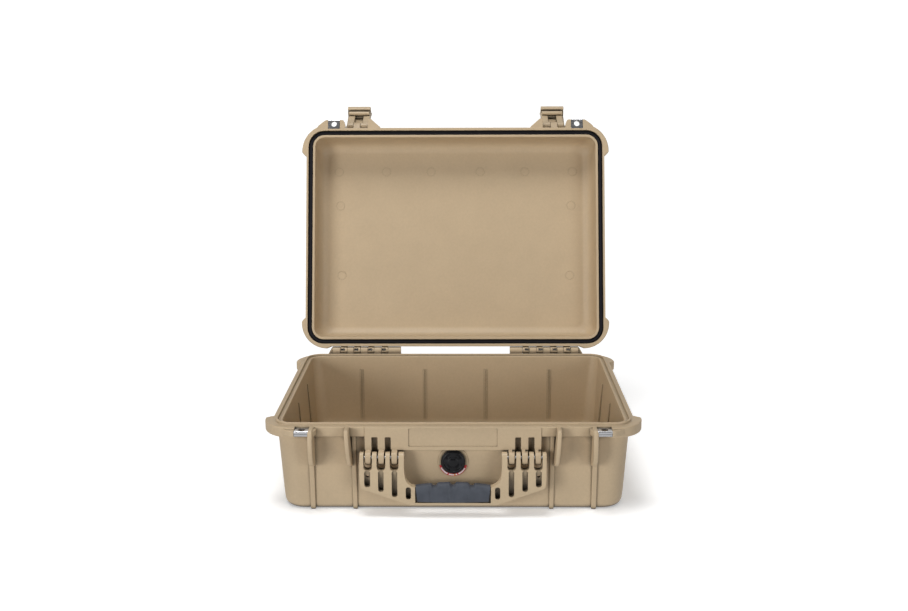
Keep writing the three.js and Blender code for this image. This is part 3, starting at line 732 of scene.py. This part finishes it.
def lid_body():
    """The outside of the lid as one skin: top plate, wall and flange."""
    return tub([
        ((190, 126, 8, LID_PLATE), 0),
        ((232.6, 168.2, 28, LID_PLATE), 14),
        ((234.8, 170.4, 30, LID_FLANGE_TOP), 2),
        ((*FLANGE, LID_FLANGE_TOP), 2.4),
        ((*FLANGE, PARTING), 1.7),
        ((238, 173, 26, PARTING), 0),
    ])


def lid_cavity():
    """The space inside the lid: ceiling, inner wall, lip and the groove of the seal."""
    return tub([
        ((190, 126, 8, LID_CEILING), 0),
        ((212.5, 146.7, 12, LID_CEILING), 4),
        ((223.5, 157.7, 17, LID_CEILING - 4.4), 9),
        ((228.2, 162.4, 15.6, LID_CEILING - 17), 13),
        ((229.6, 163.8, 15.1, PARTING + 1), 1.1),
        ((233.5, 167.7, 19.0, PARTING + 1), 0.9),
        ((233.6, 167.8, 19.1, PARTING + 7.7), 0.5),
        ((240.5, 174.7, 26.0, PARTING + 7.7), 0.5),
        ((240.6, 174.8, 26.1, PARTING), 0.9),
        ((241.6, 175.8, 27.1, PARTING - 0.2), 0),
        ((241.6, 175.8, 27.1, PARTING - 8), 0),
    ])


def latch_lugs(side):
    """The lug that a latch turns on, and the gusset beside it."""
    lug = [(-166, 136), (-180, 138), (-191.5, 144.6), (-194.4, 149), (-194.2, 153.6),
           (-190, 157.6), (-184, 158.2), (-166, 163)]
    lug = soften(lug, [0, 2, 5, 4, 4, 4, 4, 0])
    gusset = [(119, -168), (123, -180.5), (139, -194.6), (143.8, -194.6), (143.8, -168)]
    gusset = soften(gusset, [0, 2, 1.5, 1.5, 0])
    return [prism(lug, side * (LATCH_X - 5.7), side * (LATCH_X + 5.7), "X", bevel=0.8),
            prism(mirrored(gusset, side), PARTING + 0.3, 147, bevel=1.0)]


def lid_hinge(side):
    y, z = LID_HINGE
    neck = [(170, PARTING + 0.6), (179.2, PARTING + 0.6), (179.6, z),
            (191.6, z), (188, 131.9), (170, 131.9)]
    parts = []
    for x0, x1 in LID_KNUCKLES:
        parts.append(prism(soften(neck, [0, 0, 0, 0, 3, 0]), side * x0, side * x1, "X", bevel=0.5))
        parts.append(knuckle(y, z, side * x0, side * x1))
    return parts


def hinge_pockets(side):
    """The coring pocket that faces forwards in each lid knuckle when the lid is open."""
    y, z = LID_HINGE
    pockets = []
    for _, x1 in LID_KNUCKLES:
        slot = rectangle(y - 8, y - 0.5, z + 0.9, z + 4.3)
        pocket = prism(slot, side * (x1 - 7.4), side * (x1 - 0.6), "X", bevel=0)
        about = Matrix.Translation((0, y, z))
        turn = about @ Matrix.Rotation(math.radians(LID_ANGLE), 4, "X") @ about.inverted()
        bmesh.ops.transform(pocket, matrix=turn, verts=pocket.verts)
        pockets.append(pocket)
    return pockets


def lid_side_parts(side):
    return [
        corner_pad(side, 1, (41.0, 41.6), PARTING, LID_FLANGE_TOP, bevel=(1.4, 2.4)),
        corner_pad(side, -1, (42.2, 43.5), PARTING, LID_FLANGE_TOP, bevel=(1.4, 2.4)),
        padlock_tab(side, PARTING, PARTING + TAB_DEPTH),
        *latch_lugs(side),
        *lid_hinge(side),
        *[wrap_rib(rib, side, LID_FLANGE_TOP - 1, LID_TOP, up=-1, bend=16, wall=168.6, front=171.6)
          for rib in RIBS],
        *[side_rib(y, side, LID_FLANGE_TOP - 1, LID_PLATE, up=-1) for y in SIDE_RIBS],
    ]


def lid_side_cuts(side):
    return [
        *padlock_seats(side, PARTING, PARTING + TAB_DEPTH),
        padlock_hole(side),
        *hinge_pockets(side),
        prism(circle(*LATCH_HINGE, PIN_BORE, 24), side * 150, side * 180, "X", bevel=0),
        prism(circle(*LID_HINGE, PIN_BORE, 24), side * 88, side * 209, "X", bevel=0),
    ]


def lid_shell():
    panel = soften(rectangle(-78, 78, -52, 52), 10)
    parts = [lid_body(), prism(panel, LID_PLATE - 2, LID_PLATE + 2.2, bevel=(0, 1.4))]
    cuts = [lid_cavity()]
    for _, side in SIDES:
        parts += lid_side_parts(side)
        cuts += lid_side_cuts(side)
    pins = ((41, -114), (116, -114), (195.5, -114), (193, -57), (190, 60))
    rings = [ejector_ring(sign * x, y, LID_CEILING, 7.5) for sign in (-1, 1) for x, y in pins]
    piece = swung_open(build("lid_shell_skin", TAN, parts, cuts, rings))
    return place(piece, "lid", "tan_plastic", "lid_shell")


def lid_gasket():
    """A hollow-backed seal whose rounded face shows in the lid's groove."""
    section = [(4.5, 128.3), (4.5, 125.6), (5.6, 124.5), (9.6, 124.5), (10.6, 125.6), (10.6, 128.3)]
    section = soften(section, [0.3, 1.2, 2, 2, 1.2, 0.3], steps=5)
    levels = [(MOUTH[0] + d, MOUTH[1] + d, MOUTH[2] + d, z) for d, z in section]
    piece = to_object("lid_seal", swept_shell(levels, closed=True), GASKET)
    return place(swung_open(finish_mesh(piece, 50)), "lid", "gasket_rubber", "lid_gasket")


def latch(name, side):
    """A lever with a cover, two legs beside the lid's lug, a round bar and the hook."""
    y, z = LATCH_HINGE
    inner, outer = side * (LATCH_X - LATCH_HALF), side * (LATCH_X + LATCH_HALF)
    cover = [(-190.5, 157.3), (-195, 150), (-197.2, 130), (-197.6, 95), (-201.6, 86), (-203.4, 78.5),
             (-200.6, 77.6), (-195, 86), (-192.6, 95), (-192.2, 144), (-188, 147)]
    cover = soften(cover, [2, 6, 8, 5, 5, 1.4, 1.4, 5, 5, 2, 0])
    hook = [(-193, 91), (-184, 94.6), (-179.6, 95.6), (-178.4, 97), (-178.4, 102.4), (-179.4, 104),
            (-181.2, 104.2), (-182.2, 100.6), (-184.4, 100.6), (-185, 104.4), (-193, 104.8)]
    hook = soften(hook, [0, 3, 1.2, 1.2, 1.2, 1, 0.8, 1, 1, 0.8, 0])
    leg = soften([(-194, 104), (-187, 104), (-186, 112), (-185, 147), (-194, 147)], [0, 0, 3, 2, 0])
    leg_end = side * LATCH_BARREL_END
    bar, barrel = circle(-183.2, 113, 3.4), circle(y, z, 6.8)
    parts = [
        prism(cover, inner, outer, "X", bevel=0.9),
        prism(hook, inner, outer, "X", bevel=0.5),
        prism(bar, inner + side * 1.2, leg_end, "X", bevel=0.8),
        prism(barrel, inner, leg_end, "X", bevel=0.8),
        prism(leg, inner, inner + side * 11, "X", bevel=1.2),
        prism(leg, side * (LATCH_X + LUG_GAP), leg_end, "X", bevel=1.2),
    ]
    slot = rectangle(side * (LATCH_X - LUG_GAP), side * (LATCH_X + LUG_GAP), -200, -175)
    cuts = [prism(slot, 142.6, 162, bevel=0),
            prism(circle(y, z, PIN_BORE, 32), inner - side, outer + side, "X", bevel=0)]
    piece = turn_about(build("latch_cover_" + name, TAN_HANDLE, parts, cuts), LATCH_HINGE, -LATCH_ANGLE)
    return place(swung_open(piece), "latch_" + name, "tan_handle_plastic", "latch_" + name)


# ---- Handle --------------------------------------------------------------------------------

def upright_slot(x0, x1, z0, z1, side, front, back):
    radius = (x1 - x0) / 2
    middle = side * (x0 + x1) / 2
    outline = soften(rectangle(middle - radius, middle + radius, z0, z1), radius, steps=7)
    return prism(outline, front, back, "Y", bevel=0)


def sloped_pocket(x0, x1, z0, z1, side):
    """A slot in the front of a handle arm that runs deeper towards its lower end."""
    slot = upright_slot(x0, x1, z0, z1, side, -206, -192)
    for vertex in slot.verts:
        if vertex.co.y > -200:
            vertex.co.y = -189.8 - 2.8 * (vertex.co.z - z0) / (z1 - z0)
    return slot


def handle_cuts():
    """Room for the sleeve before and behind the tie bar, then finger slots, pockets and bores."""
    front, back = -206, -170
    cuts = [prism(rectangle(-50, 50, 21.3, 60), front, -195, "Y", bevel=0),
            prism(rectangle(-50, 50, 21.3, 60), -190.6, back, "Y", bevel=0)]
    pockets = ((55.4, 62.4, 26.2, 43), (73.4, 80.8, 29.4, 65),
               (91.4, 98.8, 36.8, 65), (109.2, 117, 43, 65))
    for _, side in SIDES:
        for x0, x1 in BASE_FINGERS:
            cuts.append(upright_slot(x0 - FINGER_PLAY, x1 + FINGER_PLAY, 64.6, 110, side, front, back))
        cuts += [sloped_pocket(*pocket, side) for pocket in pockets]
        cuts.append(prism(circle(side * 113, 56.5, 2.4, 24), front, back, "Y", bevel=0))
        cuts.append(prism(circle(*HANDLE_HINGE, HANDLE_BORE, 24), side * 60, side * 126, "X", bevel=0))
    return cuts


def handle_frame():
    """Two slotted arms and a tie bar: the front outline kept within the side outline."""
    y, z = HANDLE_HINGE
    right = [(56, 17.3), (66, 21.2), (122, 41.4), (123.6, 60), (123.6, 92),
             (64.6, 92), (64.6, 62), (62, 50), (55, 44), (49.6, 42.6)]
    left = [(-x, h) for x, h in reversed(right)]
    radii = [8, 8, 4, 6, 0, 0, 6, 5, 4, 0]
    front = prism(soften(right + left, radii + radii[::-1]), -206, -170, "Y", bevel=0)
    knuckle_radius = 7.6
    side_view = [(y - knuckle_radius, z), (-198.6, 46), (-198.6, 17.3), (-189.4, 17.3),
                 (-188.4, 46), (-181.8, 66), (y + knuckle_radius, z)]
    top = [(y + knuckle_radius * math.cos(a), z + knuckle_radius * math.sin(a))
           for a in np.linspace(0.12, math.pi - 0.12, 16)]
    side_view = soften(side_view, [0, 10, 2.5, 2.5, 10, 6, 0]) + top
    blank = prism(side_view, -123.6, 123.6, "X", bevel=1.2)
    piece = build("handle_arms", TAN_HANDLE, [front], handle_cuts(), within=[blank])
    return place(piece, "handle", "tan_handle_plastic", "handle_frame")


def handle_grip():
    """Over-moulded sleeve: crowned along its top, with three finger stops and three faint grooves.
    Its section is a list of (y, share of the height) points."""
    stations = 81
    middle_y = -193
    half_length = 46.8
    section = [(-199.8, 0.0), (-201.2, 0.3), (-201.2, 0.68), (-198.6, 0.96), (middle_y, 1.0),
               (-187.4, 0.96), (-185, 0.68), (-185, 0.3), (-186.6, 0.0)]
    section = soften(section, [1, 3, 3, 3, 3, 3, 3, 3, 1])
    bm = bmesh.new()
    rings = []
    for i in range(stations):
        t = 2 * i / (stations - 1) - 1
        crown = 1 - t * t
        bottom = 23.0 - 1.2 * crown
        top = 44.2 + 4.1 * crown
        ring = []
        for depth, level in section:
            x = t * (half_length + 2.6 * level)
            z = bottom + (top - bottom) * level
            near_top = max(0.0, (level - 0.6) / 0.4)
            for stop in (-24.4, 0.0, 24.8):
                z -= 3.8 * math.exp(-((x - stop) / 3.4) ** 4) * near_top
            groove = sum(math.exp(-((x - g) / 0.8) ** 2) for g in (-30, -6, 19))
            squeeze = 0.6 * groove if 0.02 < level < 0.99 else 0.0
            depth += squeeze if depth < middle_y else -squeeze
            ring.append(bm.verts.new((x, depth, z)))
        rings.append(ring)
    for near, far in zip(rings, rings[1:]):
        join_rings(bm, near, far)
    bm.faces.new(rings[0])
    bm.faces.new(rings[-1])
    slot = prism(rectangle(-60, 60, -195.3, -190.3), 10, 42.9, bevel=0)
    piece = build("handle_grip_sleeve", GRIP, [bm], [slot])
    return place(piece, "handle", "grip_rubber", "handle_grip")


# ---- Valve ---------------------------------------------------------------------------------

def valve_knob():
    """A rimmed cap whose centre boss is tied to the rim by three lobes, with a slot above."""
    profile = [(-6.1, 0), (-6.0, 5.6), (-5.6, 7.4), (-4.0, 8.0), (-4.0, 11.4), (-5.4, 12.2), (-6.2, 13.0),
               (-6.0, 14.4), (-4.8, 15.2), (-4.2, 16.4), (-2.5, 16.4), (-2.5, 5.7), (18.6, 5.7), (18.6, 0)]
    radii = [0, 1.2, 0.8, 0.8, 0.8, 0.5, 0.6, 0.8, 0.8, 0.6, 0.3, 0, 0.3, 0]
    parts = [turned(soften(profile, radii, closed=False), 72)]
    for degrees in (90, 170, 270, 10):
        angle = math.radians(degrees)
        across = Vector((-math.sin(angle), 0, math.cos(angle)))
        along = Vector((math.cos(angle), 0, math.sin(angle)))
        corners = [along * r + across * w for r, w in ((6.5, 3.4), (12.6, 4.6), (12.6, -4.6), (6.5, -3.4))]
        outline = soften([(c.x, VALVE_Z + c.z) for c in corners], 0.9)
        parts.append(prism(outline, VALVE_SEAT - 5.5, VALVE_SEAT - 3, "Y", bevel=(0.5, 0)))
    slot = soften(rectangle(-3.2, 3.2, VALVE_Z + 3.4, VALVE_Z + 5.2), 0.7)
    cuts = [prism(slot, -180, VALVE_SEAT - 4.0, "Y", bevel=0)]
    piece = build("valve_knob_cap", BLACK, parts, cuts)
    return place(piece, "valve_knob", "black_plastic", "valve_knob")


def arc_outline(r0, r1, start, end, steps=24):
    """Part of a ring on the valve's seat, set a little low so that it shows below the knob."""
    middle = VALVE_Z - 1.9
    angles = [math.radians(start + (end - start) * i / steps) for i in range(steps + 1)]
    outer = [(r1 * math.cos(a), middle + r1 * math.sin(a)) for a in angles]
    inner = [(r0 * math.cos(a), middle + r0 * math.sin(a)) for a in reversed(angles)]
    return outer + inner


def valve_label():
    """A red arc with three white fields and one amber spot, with no lettering."""
    front, back = VALVE_SEAT - 0.75, VALVE_SEAT - 0.3
    red, white, amber = range(3)
    fields = [(arc_outline(15.4, 18.9, -168, -12, 48), front, red)]
    for start, end in ((-156, -116), (-110, -72), (-66, -26)):
        fields.append((arc_outline(16.3, 18.2, start, end), front - 0.06, white))
    fields.append((arc_outline(16.3, 18.2, -86, -79, 6), front - 0.09, amber))
    bm = bmesh.new()
    for outline, level, ink in fields:
        field = to_object("field", prism(outline, back, level, "Y", bevel=0.05, steps=1), LABEL_RED)
        start = len(bm.faces)
        bm.from_mesh(field.data)
        bpy.data.objects.remove(field)
        bm.faces.ensure_lookup_table()
        for face in bm.faces[start:]:
            face.material_index = ink
    for vertex in bm.verts:
        vertex.co /= MM
    label = to_object("valve_label_arc", bm, LABEL_RED)
    label.data.materials.append(LABEL_WHITE)
    label.data.materials.append(LABEL_AMBER)
    return place(finish_mesh(label), "base", "label_film", "valve_label")


# ---- Padlock plates ------------------------------------------------------------------------

def padlock_plates(name, side):
    """The steel plates on the base's tab and on the lid's, one above the other when it is shut."""
    z0, z1 = BASE_TAB_TOP - TAB_DEPTH, BASE_TAB_TOP
    steel = padlock_plate("base_padlock_steel_" + name, side, z0, z1)
    place(steel, "base", "stainless_steel", "base_padlock_plate_" + name)
    z0, z1 = PARTING, PARTING + TAB_DEPTH
    steel = swung_open(padlock_plate("lid_padlock_steel_" + name, side, z0, z1))
    place(steel, "lid", "stainless_steel", "lid_padlock_plate_" + name)


# ---- CAD nodes that stay, with their own finish --------------------------------------------

def finish_cad_nodes():
    looks = {"valve_body": BLACK, "valve_nut": BLACK, "valve_o_ring": GASKET, "valve_membrane": GASKET}
    for name, _ in SIDES:
        for pin in ("hinge_pin_", "handle_pin_", "latch_pin_"):
            looks[pin + name] = PIN_STEEL
    for node, material in looks.items():
        piece = frame["nodes"][node]
        piece.data.materials.clear()
        piece.data.materials.append(material)
        for polygon in piece.data.polygons:
            polygon.use_smooth = True
        rounding = piece.modifiers.new("rounding", "BEVEL")
        rounding.width = 0.2 * MM
        rounding.segments = 2
        rounding.limit_method = "ANGLE"
        rounding.angle_limit = math.radians(40)
        rounding.harden_normals = True


# ---- Stage, light and camera ---------------------------------------------------------------

WHITE = 1.1                             # strength that shows as plain white


def make_stage():
    """A pale floor that takes the case's shadow from the lamps, has a painted shadow that dims its glow
    close to the case, and fades to plain white away from it."""
    bpy.ops.mesh.primitive_plane_add(size=60, location=(0, 0, 0))
    floor = bpy.context.object
    floor.name = "floor"
    material, tree, shader = node_material("white_floor", 0.9, specular=0.0)
    coordinates = tree.nodes.new("ShaderNodeTexCoord")
    distance = tree.nodes.new("ShaderNodeVectorMath")
    distance.operation = "LENGTH"
    tree.links.new(coordinates.outputs["Object"], distance.inputs[0])
    fade_start, fade_end = 0.35, 0.85
    fade = range_map(tree, distance.outputs["Value"], 0.0, 1.0, fade_start, fade_end)
    tree.links.new(ramp(tree, fade, ((0.0, (0.8,) * 3), (1.0, (0.0,) * 3))), shader.inputs["Base Color"])
    shader.inputs["Emission Color"].default_value = (1, 1, 1, 1)
    # Painted shadow: ambient occlusion dims the floor's glow near the case, on top of the shadow that the
    # lamps cast.
    contact = tree.nodes.new("ShaderNodeAmbientOcclusion")
    contact.inputs["Distance"].default_value = 0.16
    pale = range_map(tree, fade, 0.66, WHITE)
    painted_shadow = range_map(tree, contact.outputs["AO"], 0.38, 1.0)
    tree.links.new(multiply(tree, pale, painted_shadow), shader.inputs["Emission Strength"])
    floor.data.materials.append(material)
    floor.visible_diffuse = False
    floor.visible_glossy = False


def softbox(name, azimuth, elevation, power):
    """A round softbox, its azimuth measured from the front towards the right."""
    away, width = 3.0, 1.2
    around, above = math.radians(azimuth), math.radians(elevation)
    target = Vector((0, 0, 0.15))
    reach = math.cos(above)
    direction = Vector((reach * math.sin(around), -reach * math.cos(around), math.sin(above)))
    light = bpy.data.lights.new(name, "AREA")
    light.shape = "DISK"
    light.size = width
    light.energy = power
    lamp = bpy.data.objects.new(name, light)
    lamp.location = target + away * direction
    lamp.rotation_euler = (-direction).to_track_quat("-Z", "Y").to_euler()
    bpy.context.scene.collection.objects.link(lamp)


def make_world():
    """White behind the case; for the light on it, a pale table below. Reflections also see a white
    sweep behind the case and a dim room in front of it."""
    world = bpy.data.worlds.new("studio")
    world.use_nodes = True
    tree = world.node_tree
    room = tree.nodes["Background"]
    coordinates = tree.nodes.new("ShaderNodeTexCoord")
    direction = tree.nodes.new("ShaderNodeSeparateXYZ")
    tree.links.new(coordinates.outputs["Generated"], direction.inputs["Vector"])
    rays = tree.nodes.new("ShaderNodeLightPath")
    sweep = range_map(tree, direction.outputs["Y"], 0.1, 0.9, start=-0.3, end=0.5)
    table = 0.68
    strength = range_map(tree, direction.outputs["Z"], table, 0.0, start=-0.05, end=0.05)
    reflected = multiply(tree, sweep, rays.outputs["Is Glossy Ray"])
    tree.links.new(reflected, strength.node.inputs["To Max"])
    room.inputs["Color"].default_value = (1, 1, 1, 1)
    tree.links.new(strength, room.inputs["Strength"])
    backdrop = tree.nodes.new("ShaderNodeBackground")
    backdrop.inputs["Color"].default_value = (1, 1, 1, 1)
    backdrop.inputs["Strength"].default_value = WHITE
    mix = tree.nodes.new("ShaderNodeMixShader")
    tree.links.new(rays.outputs["Is Camera Ray"], mix.inputs["Fac"])
    tree.links.new(room.outputs["Background"], mix.inputs[1])
    tree.links.new(backdrop.outputs["Background"], mix.inputs[2])
    tree.links.new(mix.outputs["Shader"], tree.nodes["World Output"].inputs["Surface"])
    bpy.context.scene.world = world


def make_light():
    make_world()
    softbox("left softbox", azimuth=-37, elevation=8, power=38)
    softbox("right softbox", azimuth=39, elevation=8, power=20)
    softbox("top softbox", azimuth=-33, elevation=78, power=54)


def make_camera():
    """In front of the case and a little above it, looking 13 degrees down."""
    position = Vector((0.01756, -1.62032, 0.61728))
    pitch, yaw, roll = math.radians(12.99), math.radians(-0.62), math.radians(-0.19)
    ahead = math.cos(pitch)
    forward = Vector((math.sin(yaw) * ahead, math.cos(yaw) * ahead, -math.sin(pitch)))
    level = Vector((math.cos(yaw), -math.sin(yaw), 0))
    above = level.cross(forward)
    right = math.cos(roll) * level + math.sin(roll) * above
    up = math.cos(roll) * above - math.sin(roll) * level
    camera = bpy.data.objects.new("camera", bpy.data.cameras.new("camera"))
    camera.data.lens = 45.56
    camera.data.sensor_width = 36
    turn = Matrix((right, up, -forward)).transposed()
    camera.matrix_world = Matrix.Translation(position) @ turn.to_4x4()
    bpy.context.scene.collection.objects.link(camera)
    bpy.context.scene.camera = camera


# ---- The case ------------------------------------------------------------------------------

make_camera()
make_stage()
make_light()
bpy.context.scene.view_settings.view_transform = "Standard"

base_shell()
lid_shell()
lid_gasket()
handle_frame()
handle_grip()
valve_knob()
valve_label()
for side_name, side_sign in SIDES:
    latch(side_name, side_sign)
    padlock_plates(side_name, side_sign)
finish_cad_nodes()
